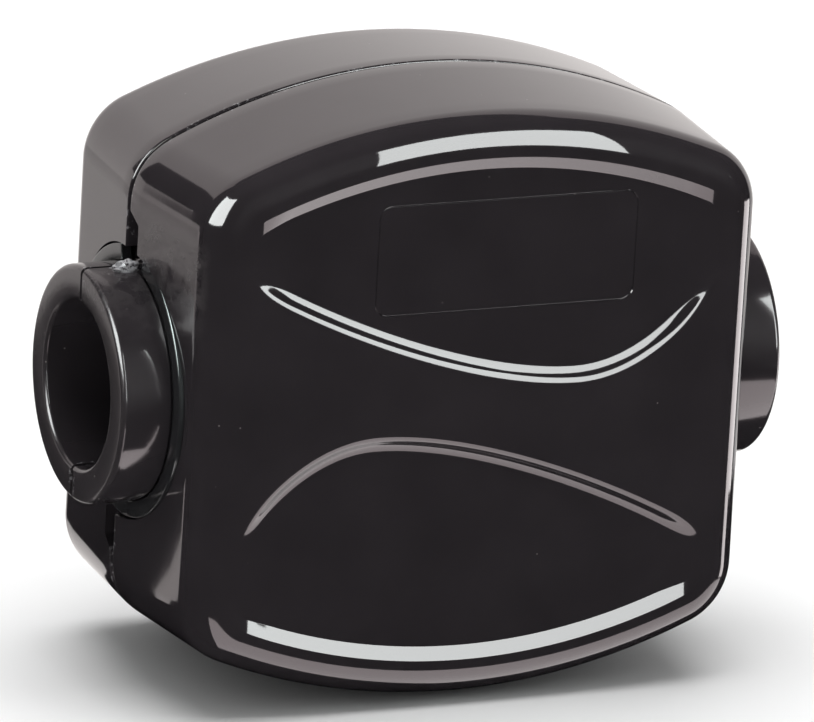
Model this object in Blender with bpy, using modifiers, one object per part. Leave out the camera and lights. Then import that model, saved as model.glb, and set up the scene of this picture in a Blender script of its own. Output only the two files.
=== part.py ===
"""Nut-type branch clamp: two moulded half shells and lock rings round a screwed steel core.

The cable axis is X and the halves part on the upright plane Y = 0. The front is at -Y.
"""

import math

import bmesh
import bpy
from mathutils import Matrix, Vector
from mathutils.geometry import interpolate_bezier

MM = 0.001

# Case
CASE_WIDTH = 41.2 * MM
CASE_HEIGHT = 41.0 * MM
CASE_DEPTH = 23.3 * MM
CROWN_RISE = 8.2 * MM
CORNER_RADIUS = 4.5 * MM
FLANK_DRAFT = 0.95 * MM
CROWN_DRAFT = 0.7 * MM
RIM_RADIUS = 2.1 * MM
INNER_RIM_RADIUS = 0.8 * MM
WALL = 2.0 * MM

# Seam
CLEARANCE = 0.3 * MM
TONGUE_HEIGHT = 1.0 * MM
TONGUE_THICKNESS = 0.7 * MM
TONGUE_INSET = 1.2 * MM
PRY_NOTCH_WIDTH = 1.5 * MM
PRY_NOTCH_LENGTH = 3.9 * MM
PRY_NOTCH_DEPTH = 1.0 * MM
PRY_NOTCH_SLANT = 0.8 * MM

# Collars
COLLAR_MARGIN = 3.75 * MM
COLLAR_WALL = 2.3 * MM
COLLAR_REACH = 3.1 * MM
COLLAR_EDGE = 0.4 * MM
BOSS_RIM = 0.8 * MM
BOSS_WALL = 1.2 * MM
BOSS_LAP = 0.15 * MM

# Lock rings, each sunk in a round groove of the flank
RING_WIDTH = 0.7 * MM
RING_THICKNESS = 1.2 * MM
RING_SINK = 0.4 * MM
RING_SEAT_DEPTH = 0.3 * MM
RING_OPENING = 3.2 * MM

# Lens panels sunk in each face
LENS_DEPTH = 0.8 * MM
LENS_MARGIN = 0.08 * MM
LENS_CORNER = 0.9 * MM
LENS_EDGE_RADIUS = 0.27 * MM
LENS_SWEEP_RADIUS = 0.77 * MM
LENS_SWEEP_BLEND = 4.0 * MM
LENS_LEFT_DROP = 3.0 * MM
LENS_RIGHT_DROP = 4.1 * MM
LENS_WAIST = 1.5 * MM
LENS_WAIST_OFFSET = 6.8 * MM

# Core plates
PLATE_LENGTH = 20.0 * MM
PLATE_HEIGHT = 21.0 * MM
DIE_THICKNESS = 2.0 * MM
MIDDLE_THICKNESS = 1.5 * MM
TRUNK_GROOVE = 2.2 * MM
BRANCH_GROOVE = 1.3 * MM
GROOVE_FLOOR = 2.6 * MM
GROOVE_FLANK = 1.4 * MM
PLATE_EDGE = 0.25 * MM

# Clamp screws and spring washers
SCREW_INSET_X = 3.4 * MM
SCREW_INSET_Z = 3.3 * MM
SCREW_RADIUS = 2.0 * MM
SCREW_LENGTH = 10.0 * MM
HEAD_RADIUS = 3.3 * MM
HEAD_HEIGHT = 2.4 * MM
HEAD_EDGE = 0.5 * MM
SLOT_WIDTH = 1.1 * MM
SLOT_DEPTH = 1.2 * MM
TIP_CHAMFER = 0.6 * MM
WASHER_RADIUS = 3.3 * MM
WASHER_THICKNESS = 0.9 * MM
WASHER_SPLIT = 12.0
WASHER_RISE = 0.25 * MM

# Core guides inside the shells
GUIDE_THICKNESS = 1.4 * MM
GUIDE_LEG = 4.2 * MM
REST_RADIUS = 1.6 * MM

# Facet counts
CROWN_STEPS = 9
CORNER_STEPS = 4
RIM_STEPS = 4
WAVE_STEPS = 9
LENS_CORNER_STEPS = 2
FILLET_STEPS = 3
COLLAR_STEPS = 40
SCREW_STEPS = 20

# Worked out from the sizes above
AXIS_HEIGHT = CASE_HEIGHT / 2
HALF_DEPTH = CASE_DEPTH / 2
FLANK_END = CASE_HEIGHT / 2 - CROWN_RISE
SEAM_HALF_GAP = CLEARANCE / 2
COLLAR_RADIUS = HALF_DEPTH - COLLAR_MARGIN
BORE_RADIUS = COLLAR_RADIUS - COLLAR_WALL
DIE_FACE = MIDDLE_THICKNESS / 2 + CLEARANCE
DIE_BACK = DIE_FACE + DIE_THICKNESS
HEAD_SEAT = DIE_BACK + WASHER_THICKNESS + WASHER_RISE + 2 * CLEARANCE
SCREW_X = PLATE_LENGTH / 2 - SCREW_INSET_X
SCREW_Z = PLATE_HEIGHT / 2 - SCREW_INSET_Z
RING_INNER = COLLAR_RADIUS - RING_SEAT_DEPTH + CLEARANCE
RING_OUTER = RING_INNER + RING_THICKNESS
RING_NEAR = CASE_WIDTH / 2 - RING_SINK - RING_WIDTH
GROOVE_FLOOR_X = RING_NEAR - CLEARANCE
GROOVE_RADIUS = RING_OUTER + CLEARANCE
BOSS_RADIUS = GROOVE_RADIUS + BOSS_RIM
CUT_OVERSHOOT = 1.0 * MM
WELD_DISTANCE = 0.005 * MM

# Each material's base colour, roughness and metallic value
CASE_PLASTIC = ("case_plastic", (0.012, 0.011, 0.012), 0.16, 0.0)
SPRING_STEEL = ("spring_steel", (0.05, 0.05, 0.055), 0.3, 0.9)
DIE_STEEL = ("die_steel", (0.55, 0.55, 0.53), 0.38, 1.0)
SCREW_STEEL = ("screw_steel", (0.62, 0.61, 0.57), 0.3, 1.0)


def clear_scene():
    """Remove every object, so that the script can be run again."""
    for obj in list(bpy.data.objects):
        bpy.data.objects.remove(obj, do_unlink=True)


def make_collection(name):
    """A new collection in the scene."""
    collection = bpy.data.collections.new(name)
    bpy.context.scene.collection.children.link(collection)
    return collection


def make_material(name, colour, roughness, metallic):
    """A Principled material with the piece's plain colour and finish."""
    material = bpy.data.materials.new(name)
    material.use_nodes = True
    shader = material.node_tree.nodes["Principled BSDF"]
    shader.inputs["Base Color"].default_value = (*colour, 1.0)
    shader.inputs["Roughness"].default_value = roughness
    shader.inputs["Metallic"].default_value = metallic
    material.diffuse_color = (*colour, 1.0)
    return material


def mesh_from_bmesh(bm, name):
    """A mesh with outward normals, from a bmesh that it frees."""
    bmesh.ops.recalc_face_normals(bm, faces=bm.faces)
    mesh = bpy.data.meshes.new(name)
    bm.to_mesh(mesh)
    bm.free()
    return mesh


def make_object(name, mesh, collection):
    """An object for a mesh, linked to its collection."""
    obj = bpy.data.objects.new(name, mesh)
    collection.objects.link(obj)
    return obj


def make_tool(name, mesh):
    """A shape that only cuts or joins others: it is drawn as wire and never rendered."""
    tool = make_object(name, mesh, tools)
    tool.display_type = "WIRE"
    tool.hide_render = True
    return tool


def combine(obj, tool, operation):
    """Cut, join or trim an object by a tool."""
    boolean = obj.modifiers.new(tool.name, "BOOLEAN")
    boolean.operation = operation
    boolean.solver = "EXACT"
    boolean.object = tool


def finished_mesh(obj, name):
    """The mesh of an object with its modifiers applied."""
    bpy.context.view_layer.update()
    depsgraph = bpy.context.evaluated_depsgraph_get()
    mesh = bpy.data.meshes.new_from_object(obj.evaluated_get(depsgraph))
    mesh.name = name
    return mesh


def finish_piece(obj, look, smooth_angle=35.0):
    """Give a piece its material and smooth its round faces."""
    obj.data.materials.clear()
    obj.data.materials.append(make_material(f"{obj.name}_{look[0]}", *look[1:]))
    obj.data.shade_smooth()
    obj.data.set_sharp_from_angle(angle=math.radians(smooth_angle))


def loft(sections, closed=False):
    """Join loops of the same point count by quads, capped unless the last meets the first."""
    bm = bmesh.new()
    rings = [[bm.verts.new(point) for point in section] for section in sections]
    count = len(rings[0])
    spans = list(zip(rings, rings[1:]))
    if closed:
        spans.append((rings[-1], rings[0]))
    for ring, following in spans:
        for i in range(count):
            j = (i + 1) % count
            bm.faces.new((ring[i], ring[j], following[j], following[i]))
    if not closed:
        bm.faces.new(rings[0])
        bm.faces.new(reversed(rings[-1]))
    return bm


def at_depth(loop, y):
    """A flat XZ loop placed at one depth."""
    return [Vector((x, y, z)) for x, z in loop]


def box_mesh(name, x, y, z):
    """A box between pairs of coordinates."""
    bm = bmesh.new()
    size = (x[1] - x[0], y[1] - y[0], z[1] - z[0])
    middle = ((x[0] + x[1]) / 2, (y[0] + y[1]) / 2, (z[0] + z[1]) / 2)
    bmesh.ops.create_cube(bm, size=1.0)
    bmesh.ops.scale(bm, vec=size, verts=bm.verts)
    bmesh.ops.translate(bm, vec=middle, verts=bm.verts)
    return mesh_from_bmesh(bm, name)


def cylinder_mesh(name, radius, length, axis, middle, steps):
    """A capped cylinder along X or Y about a middle point."""
    bm = bmesh.new()
    bmesh.ops.create_cone(
        bm, cap_ends=True, segments=steps, radius1=radius, radius2=radius, depth=length
    )
    turn = Matrix.Rotation(math.pi / 2, 4, "Y" if axis == "X" else "X")
    bmesh.ops.transform(bm, matrix=Matrix.Translation(middle) @ turn, verts=bm.verts)
    return mesh_from_bmesh(bm, name)


def turned_mesh(name, profile, steps, angle=2 * math.pi):
    """Turn a profile of (radius, height) points about Z with a Screw modifier."""
    bm = bmesh.new()
    points = [bm.verts.new((radius, 0.0, height)) for radius, height in profile]
    for start, end in zip(points, points[1:]):
        bm.edges.new((start, end))
    if profile[0][0] > 0.0:
        bm.edges.new((points[-1], points[0]))
    wire = bpy.data.meshes.new(name)
    bm.to_mesh(wire)
    bm.free()
    blank = make_tool(name, wire)
    screw = blank.modifiers.new("turn", "SCREW")
    screw.angle = angle
    screw.steps = steps
    screw.render_steps = steps
    screw.use_merge_vertices = True
    screw.merge_threshold = WELD_DISTANCE
    turned = finished_mesh(blank, name)
    bpy.data.objects.remove(blank)
    bm = bmesh.new()
    bm.from_mesh(turned)
    bmesh.ops.remove_doubles(bm, verts=bm.verts, dist=WELD_DISTANCE)
    bmesh.ops.holes_fill(bm, edges=[edge for edge in bm.edges if edge.is_boundary], sides=0)
    return mesh_from_bmesh(bm, name)


def crown_circle(half_width, half_height, corner):
    """Radius and centre height of the crown arc that touches the corners and the top.

    Each corner's centre is level with the end of its straight flank.
    """
    across = half_width - corner
    rise = FLANK_END - half_height
    radius = (corner**2 - across**2 - rise**2) / (2 * rise + 2 * corner)
    return radius, half_height - radius


def case_outline(half_width, half_height, corner):
    """Case outline in XZ: straight flanks, round corners and crown arcs tangent to them."""
    across = half_width - corner
    crown, centre = crown_circle(half_width, half_height, corner)
    joint = math.atan2(FLANK_END - centre, across)
    quarter = []
    for i in range(CORNER_STEPS + 1):
        angle = joint * i / CORNER_STEPS
        quarter.append(
            (across + corner * math.cos(angle), FLANK_END + corner * math.sin(angle))
        )
    for i in range(1, CROWN_STEPS + 1):
        angle = joint + (math.pi / 2 - joint) * i / CROWN_STEPS
        quarter.append((crown * math.cos(angle), centre + crown * math.sin(angle)))
    top = quarter + [(-x, z) for x, z in reversed(quarter[:-1])]
    return top + [(-x, -z) for x, z in top]


def flank_x(distance):
    """Half width of the case's outside at a distance from the parting plane."""
    return CASE_WIDTH / 2 - FLANK_DRAFT * distance / HALF_DEPTH


def crown_z(distance):
    """Half height of the case's outside at a distance from the parting plane."""
    return CASE_HEIGHT / 2 - CROWN_DRAFT * distance / HALF_DEPTH


def case_section(distance, inset):
    """Case outline in the front half at a distance from the parting plane, set inwards."""
    loop = case_outline(
        flank_x(distance) - inset, crown_z(distance) - inset, CORNER_RADIUS - inset
    )
    return at_depth(loop, -distance)


def rounded_end(depth, radius, inset):
    """Sections of a drafted wall from past the seam to a rounded rim at the given depth."""
    sections = [case_section(-CUT_OVERSHOOT, inset)]
    for i in range(RIM_STEPS + 1):
        angle = math.pi / 2 * i / RIM_STEPS
        distance = depth - radius + radius * math.sin(angle)
        sections.append(case_section(distance, inset + radius * (1 - math.cos(angle))))
    return sections


def shell_blank():
    """The front half case, past the seam: outside from its face, then inside to its floor."""
    outside = rounded_end(HALF_DEPTH, RIM_RADIUS, 0.0)
    inside = rounded_end(HALF_DEPTH - WALL, INNER_RIM_RADIUS, WALL)
    return mesh_from_bmesh(loft(outside[::-1] + inside), "shell_blank")


def collar_mesh():
    """A solid collar turned about the cable axis, with the lock ring's seat at its root."""
    root = GROOVE_FLOOR_X - BOSS_WALL / 2
    seat_end = RING_NEAR + RING_WIDTH + CLEARANCE
    end = CASE_WIDTH / 2 + COLLAR_REACH
    neck = COLLAR_RADIUS - RING_SEAT_DEPTH
    profile = [
        (0.0, end),
        (COLLAR_RADIUS - COLLAR_EDGE, end),
        (COLLAR_RADIUS, end - COLLAR_EDGE),
        (COLLAR_RADIUS, seat_end),
        (neck, seat_end),
        (neck, root),
        (0.0, root),
    ]
    return turned_mesh("collar", profile, COLLAR_STEPS)


def flank_disc(name, radius, start, end, side):
    """A disc about the cable axis between two distances from the middle of the case."""
    middle = (side * (start + end) / 2, 0.0, 0.0)
    return cylinder_mesh(name, radius, end - start, "X", middle, COLLAR_STEPS)


def seam_band(outer_inset, inner_inset, start, end):
    """A closed band that follows the case outline between two insets and two depths."""
    half_width = CASE_WIDTH / 2
    half_height = CASE_HEIGHT / 2
    outer = case_outline(
        half_width - outer_inset, half_height - outer_inset, CORNER_RADIUS - outer_inset
    )
    inner = case_outline(
        half_width - inner_inset, half_height - inner_inset, CORNER_RADIUS - inner_inset
    )
    sections = [
        at_depth(outer, start), at_depth(outer, end), at_depth(inner, end), at_depth(inner, start)
    ]
    return mesh_from_bmesh(loft(sections, closed=True), "seam_band")


def lens_outline():
    """Upper lens panel in XZ: case crown above, short upright ends, an S-shaped sweep below."""
    half_width = flank_x(HALF_DEPTH) - RIM_RADIUS - LENS_MARGIN
    half_height = crown_z(HALF_DEPTH) - RIM_RADIUS - LENS_MARGIN
    corner = CORNER_RADIUS - RIM_RADIUS - LENS_MARGIN
    radius, centre = crown_circle(half_width, half_height, corner)
    reach = math.asin(half_width / radius)
    crown = []
    for i in range(2 * CROWN_STEPS + 1):
        angle = reach * (1 - i / CROWN_STEPS)
        crown.append((radius * math.sin(angle), centre + radius * math.cos(angle)))
    left = Vector((-half_width, FLANK_END - LENS_LEFT_DROP, 0.0))
    low = Vector((LENS_WAIST_OFFSET, LENS_WAIST, 0.0))
    right = Vector((half_width, FLANK_END - LENS_RIGHT_DROP, 0.0))
    fall = Vector(((low.x - left.x) / 4, (low.y - left.y) / 2.2, 0.0))
    climb = Vector(((right.x - low.x) / 4.5, (right.y - low.y) / 1.9, 0.0))
    glide = Vector(((low.x - left.x) * 0.3, 0.0, 0.0))
    swing = Vector(((right.x - low.x) * 0.43, 0.0, 0.0))
    sweep = interpolate_bezier(left, left + fall, low - glide, low, WAVE_STEPS + 1)
    sweep += interpolate_bezier(low, low + swing, right - climb, right, WAVE_STEPS + 1)[1:]
    return [(point.x, point.y) for point in sweep] + crown


def rounded_loop(loop, radius, sharp_angle=20.0):
    """The loop with each corner sharper than an angle rounded off by a flat bevel."""
    bm = bmesh.new()
    verts = [bm.verts.new((x, 0.0, z)) for x, z in loop]
    face = bm.faces.new(verts)
    corners = []
    for loop_corner in face.loops:
        before = loop_corner.vert.co - loop_corner.link_loop_prev.vert.co
        after = loop_corner.link_loop_next.vert.co - loop_corner.vert.co
        if math.degrees(before.angle(after)) > sharp_angle:
            corners.append(loop_corner.vert)
    bmesh.ops.bevel(
        bm, geom=corners, offset=radius, segments=LENS_CORNER_STEPS + 1, profile=0.5,
        affect="VERTICES", clamp_overlap=True,
    )
    bm.faces.ensure_lookup_table()
    points = [(corner.vert.co.x, corner.vert.co.z) for corner in bm.faces[0].loops]
    bm.free()
    return points


def grown(loop, distances):
    """The loop with each corner moved outwards by its own distance; it runs anticlockwise."""
    points = []
    corners = zip(loop[-1:] + loop[:-1], loop, loop[1:] + loop[:1], distances)
    for before, here, after, distance in corners:
        first = Vector((here[0] - before[0], here[1] - before[1])).normalized()
        second = Vector((after[0] - here[0], after[1] - here[1])).normalized()
        first_out = Vector((first.y, -first.x))
        second_out = Vector((second.y, -second.x))
        mitre = (first_out + second_out) / (1.0 + first_out.dot(second_out))
        points.append((here[0] + mitre.x * distance, here[1] + mitre.y * distance))
    return points


def wall_run(sunk, radius):
    """How far the lens wall has run inwards at a depth: an arc down, then a like arc out."""
    if sunk < 0.0:
        return -wall_run(-sunk, radius)
    if sunk > LENS_DEPTH / 2:
        return 2 * wall_run(LENS_DEPTH / 2, radius) - wall_run(LENS_DEPTH - sunk, radius)
    drop = min(sunk, radius)
    return math.sqrt(2 * radius * drop - drop**2)


def sweep_share(x, z):
    """1 along the soft sweep of the upper lens, 0 along its crown, and smooth near its ends."""
    if z > CASE_HEIGHT / 4:
        return 0.0
    from_end = (flank_x(HALF_DEPTH) - RIM_RADIUS - LENS_MARGIN - abs(x)) / LENS_SWEEP_BLEND
    share = min(max(from_end, 0.0), 1.0)
    return share * share * (3.0 - 2.0 * share)


def lens_cutter():
    """The upper lens pocket, whose wall is steep under the crown and soft along the sweep.

    Its first facet crosses the face, so that no edge lies in the face itself.
    """
    loop = rounded_loop(lens_outline(), LENS_CORNER)
    shares = [sweep_share(x, z) for x, z in loop]
    turn = math.acos(1.0 - LENS_DEPTH / 2 / LENS_SWEEP_RADIUS)
    drops = [
        LENS_SWEEP_RADIUS * (1.0 - math.cos(turn * i / FILLET_STEPS))
        for i in range(1, FILLET_STEPS + 1)
    ]
    levels = [-drops[0], *drops, *(LENS_DEPTH - drop for drop in drops[-2::-1]), LENS_DEPTH]
    sections = []
    for sunk in levels:
        steep = wall_run(sunk, LENS_EDGE_RADIUS)
        soft = wall_run(sunk, LENS_SWEEP_RADIUS)
        inward = [-(steep + (soft - steep) * share) for share in shares]
        sections.append(at_depth(grown(loop, inward), -HALF_DEPTH + sunk))
    return mesh_from_bmesh(loft(sections), "lens_pocket")


def pry_notch():
    """A notch in the seam edge of one flank, above the collar, with a slanted top."""
    start = COLLAR_RADIUS + CLEARANCE
    end = COLLAR_RADIUS + PRY_NOTCH_LENGTH
    outside = -CASE_WIDTH / 2 - CUT_OVERSHOOT
    floor = -CASE_WIDTH / 2 + PRY_NOTCH_DEPTH
    near = TONGUE_HEIGHT + CUT_OVERSHOOT
    side = [
        (near, start), (-PRY_NOTCH_WIDTH, start), (-PRY_NOTCH_WIDTH, end - PRY_NOTCH_SLANT),
        (-SEAM_HALF_GAP, end), (near, end),
    ]
    sections = [[Vector((x, y, z)) for y, z in side] for x in (outside, floor)]
    return mesh_from_bmesh(loft(sections), "pry_notch")


def core_guide(side_x, side_z):
    """An L-shaped upright guide at one corner of the core plates."""
    inner_x = PLATE_LENGTH / 2 + CLEARANCE
    inner_z = PLATE_HEIGHT / 2 + CLEARANCE
    outer_x = inner_x + GUIDE_THICKNESS
    outer_z = inner_z + GUIDE_THICKNESS
    corner = [
        (outer_x, outer_z), (outer_x - GUIDE_LEG, outer_z), (outer_x - GUIDE_LEG, inner_z),
        (inner_x, inner_z), (inner_x, outer_z - GUIDE_LEG), (outer_x, outer_z - GUIDE_LEG),
    ]
    loop = [(side_x * x, side_z * z) for x, z in corner]
    floor = -HALF_DEPTH + WALL / 2
    top = -SEAM_HALF_GAP - CLEARANCE
    return mesh_from_bmesh(loft([at_depth(loop, floor), at_depth(loop, top)]), "core_guide")


def make_shell_mesh():
    """The front shell about the middle of the cable axis, with its cuts and joins applied."""
    shell = make_object("shell", shell_blank(), tools)
    reach = CASE_WIDTH / 2 + COLLAR_REACH + CUT_OVERSHOOT
    boss_end = GROOVE_FLOOR_X - BOSS_LAP
    for side in (1, -1):
        boss = flank_disc("boss", BOSS_RADIUS, GROOVE_FLOOR_X - BOSS_WALL, boss_end, side)
        combine(shell, make_tool("boss", boss), "UNION")
        groove = flank_disc("groove", GROOVE_RADIUS, GROOVE_FLOOR_X, reach, side)
        combine(shell, make_tool("groove", groove), "DIFFERENCE")
        collar = make_tool("collar", collar_mesh())
        collar.rotation_euler = (0.0, side * math.pi / 2, 0.0)
        combine(shell, collar, "UNION")
    for side_x in (1, -1):
        for side_z in (1, -1):
            combine(shell, make_tool("guide", core_guide(side_x, side_z)), "UNION")

    tall = CASE_HEIGHT
    bore = cylinder_mesh("bore", BORE_RADIUS, 2 * reach, "X", (0.0, 0.0, 0.0), COLLAR_STEPS)
    bore_tool = make_tool("bore", bore)
    bore_tool.rotation_euler = (math.pi / COLLAR_STEPS, 0.0, 0.0)
    combine(shell, bore_tool, "DIFFERENCE")
    seam = box_mesh("seam", (-reach, reach), (-SEAM_HALF_GAP, tall), (-tall, tall))
    combine(shell, make_tool("seam", seam), "DIFFERENCE")

    tongue = make_tool("tongue", seam_band(
        TONGUE_INSET, TONGUE_INSET + TONGUE_THICKNESS, -TONGUE_HEIGHT, TONGUE_HEIGHT
    ))
    combine(tongue, make_tool("upper", box_mesh(
        "upper", (-reach, reach), (-tall, tall), (GROOVE_RADIUS, tall)
    )), "INTERSECT")
    combine(shell, tongue, "UNION")
    rebate = make_tool("rebate", seam_band(
        TONGUE_INSET - CLEARANCE, WALL + CUT_OVERSHOOT,
        -TONGUE_HEIGHT - CLEARANCE, CUT_OVERSHOOT,
    ))
    combine(rebate, make_tool("lower", box_mesh(
        "lower", (-reach, reach), (-tall, tall), (-tall, CLEARANCE - GROOVE_RADIUS)
    )), "INTERSECT")
    combine(shell, rebate, "DIFFERENCE")

    lens = lens_cutter()
    notch = pry_notch()
    for turn in (0.0, math.pi):
        for mesh in (lens, notch):
            tool = make_tool(mesh.name, mesh)
            tool.rotation_euler = (0.0, turn, 0.0)
            combine(shell, tool, "DIFFERENCE")
    mesh = finished_mesh(shell, "front_shell")
    bpy.data.objects.remove(shell)
    return mesh


def make_shells():
    """Two like mouldings: the rear one is turned half over about the cable axis."""
    mesh = make_shell_mesh()
    front = make_object("front_shell", mesh, parts)
    front.location = (0.0, 0.0, AXIS_HEIGHT)
    finish_piece(front, CASE_PLASTIC)

    rear = make_object("rear_shell", mesh.copy(), parts)
    rear.location = (0.0, 0.0, AXIS_HEIGHT)
    rear.rotation_euler = (math.pi, 0.0, 0.0)
    rest_end = DIE_BACK + CLEARANCE
    length = HALF_DEPTH - WALL / 2 - rest_end
    middle_y = rest_end + length / 2
    for side in (1, -1):
        middle = (0.0, middle_y, AXIS_HEIGHT + side * SCREW_Z)
        mesh = cylinder_mesh("core_rest", REST_RADIUS, length, "Y", middle, SCREW_STEPS)
        combine(rear, make_tool("core_rest", mesh), "UNION")
    finish_piece(rear, CASE_PLASTIC)


def make_lock_rings():
    """Open spring rings in the grooves round the collar roots, with their mouths upwards."""
    far = RING_NEAR + RING_WIDTH
    profile = [
        (RING_OUTER, far), (RING_OUTER, RING_NEAR), (RING_INNER, RING_NEAR), (RING_INNER, far),
    ]
    opening = 2 * math.asin(RING_OPENING / 2 / RING_INNER)
    mesh = turned_mesh("lock_ring", profile, COLLAR_STEPS, 2 * math.pi - opening)
    turn = Matrix.Rotation(opening / 2, 4, "Z")
    mesh.transform(turn)
    for name, side in (("left_lock_ring", -1), ("right_lock_ring", 1)):
        ring = make_object(name, mesh.copy(), parts)
        ring.location = (0.0, 0.0, AXIS_HEIGHT)
        ring.rotation_euler = ring_pose(side)
        finish_piece(ring, SPRING_STEEL)


def die_mesh(name, groove):
    """A pressed die: a plate with a trapezoid groove along X, standing towards +Y."""
    half = PLATE_HEIGHT / 2
    foot = GROOVE_FLOOR / 2 + GROOVE_FLANK
    profile = [
        (-half, 0.0), (-foot, 0.0), (-GROOVE_FLOOR / 2, groove),
        (GROOVE_FLOOR / 2, groove), (foot, 0.0), (half, 0.0),
    ]
    bm = bmesh.new()
    verts = [bm.verts.new((-PLATE_LENGTH / 2, y, z)) for z, y in profile]
    edges = [bm.edges.new(pair) for pair in zip(verts, verts[1:])]
    swept = bmesh.ops.extrude_edge_only(bm, edges=edges)
    moved = [item for item in swept["geom"] if isinstance(item, bmesh.types.BMVert)]
    bmesh.ops.translate(bm, vec=(PLATE_LENGTH, 0.0, 0.0), verts=moved)
    return mesh_from_bmesh(bm, name)


def drill(plate, radius):
    """Cut the four screw holes through a plate."""
    for x, z in screw_places():
        middle = (x, 0.0, AXIS_HEIGHT + z)
        mesh = cylinder_mesh("hole", radius, CASE_DEPTH, "Y", middle, SCREW_STEPS)
        combine(plate, make_tool("hole", mesh), "DIFFERENCE")


def screw_places():
    """Screw axes about the cable axis, from the lower left by rows."""
    return [(side_x * SCREW_X, side_z * SCREW_Z) for side_z in (-1, 1) for side_x in (-1, 1)]


def make_dies():
    """Rear and front dies, mirror images but for the depth of their grooves."""
    for name, groove, facing in (
        ("rear_die", TRUNK_GROOVE, 1), ("front_die", BRANCH_GROOVE, -1)
    ):
        die = make_object(name, die_mesh(name, groove), parts)
        die.location = (0.0, facing * DIE_FACE, AXIS_HEIGHT)
        die.rotation_euler = (0.0, 0.0, 0.0 if facing > 0 else math.pi)
        press = die.modifiers.new("press", "SOLIDIFY")
        press.thickness = DIE_THICKNESS
        press.offset = -1.0
        press.use_even_offset = True
        edge = die.modifiers.new("edge", "BEVEL")
        edge.width = PLATE_EDGE
        edge.segments = 1
        edge.limit_method = "ANGLE"
        edge.angle_limit = math.radians(60.0)
        drill(die, SCREW_RADIUS + CLEARANCE)
        finish_piece(die, DIE_STEEL)


def make_middle_plate():
    """The flat plate that parts the trunk wire from the branch wire."""
    mesh = box_mesh(
        "middle_plate",
        (-PLATE_LENGTH / 2, PLATE_LENGTH / 2),
        (-MIDDLE_THICKNESS / 2, MIDDLE_THICKNESS / 2),
        (-PLATE_HEIGHT / 2, PLATE_HEIGHT / 2),
    )
    plate = make_object("middle_plate", mesh, parts)
    plate.location = (0.0, 0.0, AXIS_HEIGHT)
    edge = plate.modifiers.new("edge", "BEVEL")
    edge.width = PLATE_EDGE
    edge.segments = 1
    drill(plate, SCREW_RADIUS + CLEARANCE)
    finish_piece(plate, DIE_STEEL)


def screw_mesh():
    """A cheese-head screw about Z with its seat at the origin, slotted across the head."""
    profile = [
        (0.0, HEAD_HEIGHT),
        (HEAD_RADIUS - HEAD_EDGE, HEAD_HEIGHT),
        (HEAD_RADIUS, HEAD_HEIGHT - HEAD_EDGE),
        (HEAD_RADIUS, 0.0),
        (SCREW_RADIUS, 0.0),
        (SCREW_RADIUS, TIP_CHAMFER - SCREW_LENGTH),
        (SCREW_RADIUS - TIP_CHAMFER, -SCREW_LENGTH),
        (0.0, -SCREW_LENGTH),
    ]
    blank = make_object("screw_blank", turned_mesh("screw", profile, SCREW_STEPS), tools)
    slot = box_mesh(
        "slot",
        (-HEAD_RADIUS - CUT_OVERSHOOT, HEAD_RADIUS + CUT_OVERSHOOT),
        (-SLOT_WIDTH / 2, SLOT_WIDTH / 2),
        (HEAD_HEIGHT - SLOT_DEPTH, HEAD_HEIGHT + CUT_OVERSHOOT),
    )
    combine(blank, make_tool("slot", slot), "DIFFERENCE")
    mesh = finished_mesh(blank, "clamp_screw")
    bpy.data.objects.remove(blank)
    return mesh


def washer_mesh():
    """A split spring washer about Z whose turn climbs by its rise."""
    inner = SCREW_RADIUS + CLEARANCE
    split = math.radians(WASHER_SPLIT)
    sections = []
    for i in range(SCREW_STEPS + 1):
        share = i / SCREW_STEPS
        angle = split / 2 + (2 * math.pi - split) * share
        foot = WASHER_RISE * share
        section = []
        for radius, height in (
            (inner, foot), (WASHER_RADIUS, foot),
            (WASHER_RADIUS, foot + WASHER_THICKNESS), (inner, foot + WASHER_THICKNESS),
        ):
            section.append(Vector((radius * math.cos(angle), radius * math.sin(angle), height)))
        sections.append(section)
    return mesh_from_bmesh(loft(sections), "spring_washer")


def make_fasteners():
    """Four screws with spring washers, each with its origin on its own axis."""
    screw = screw_mesh()
    washer = washer_mesh()
    for number, (x, z) in enumerate(screw_places(), start=1):
        for name, mesh, seat in (
            ("clamp_screw", screw, HEAD_SEAT), ("spring_washer", washer, DIE_BACK + CLEARANCE)
        ):
            piece = make_object(f"{name}_{number}", mesh.copy(), parts)
            piece.location = (x, -seat, AXIS_HEIGHT + z)
            piece.rotation_euler = (math.pi / 2, 0.0, 0.0)
            finish_piece(piece, SCREW_STEEL)


def ring_pose(side):
    """Turn a ring made about Z, mouth towards +X, to lie about X on one side, mouth up."""
    upright = Matrix.Rotation(-math.pi / 2, 4, "Y")
    facing = Matrix.Rotation(0.0 if side < 0 else math.pi, 4, "Z")
    return (facing @ upright).to_euler()


clear_scene()
parts = make_collection("branch_clamp")
tools = make_collection("cutters")
make_shells()
make_lock_rings()
make_dies()
make_middle_plate()
make_fasteners()
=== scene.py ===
"""Branch clamp: two glossy black half shells on spring rings, with the screwed plates inside.

Every length in the formulas is in millimetres about the middle of the cable axis: +X along
the cable, +Z up, the front face towards -Y. The meshes are brought to metres at the end.
"""

import math

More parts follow.
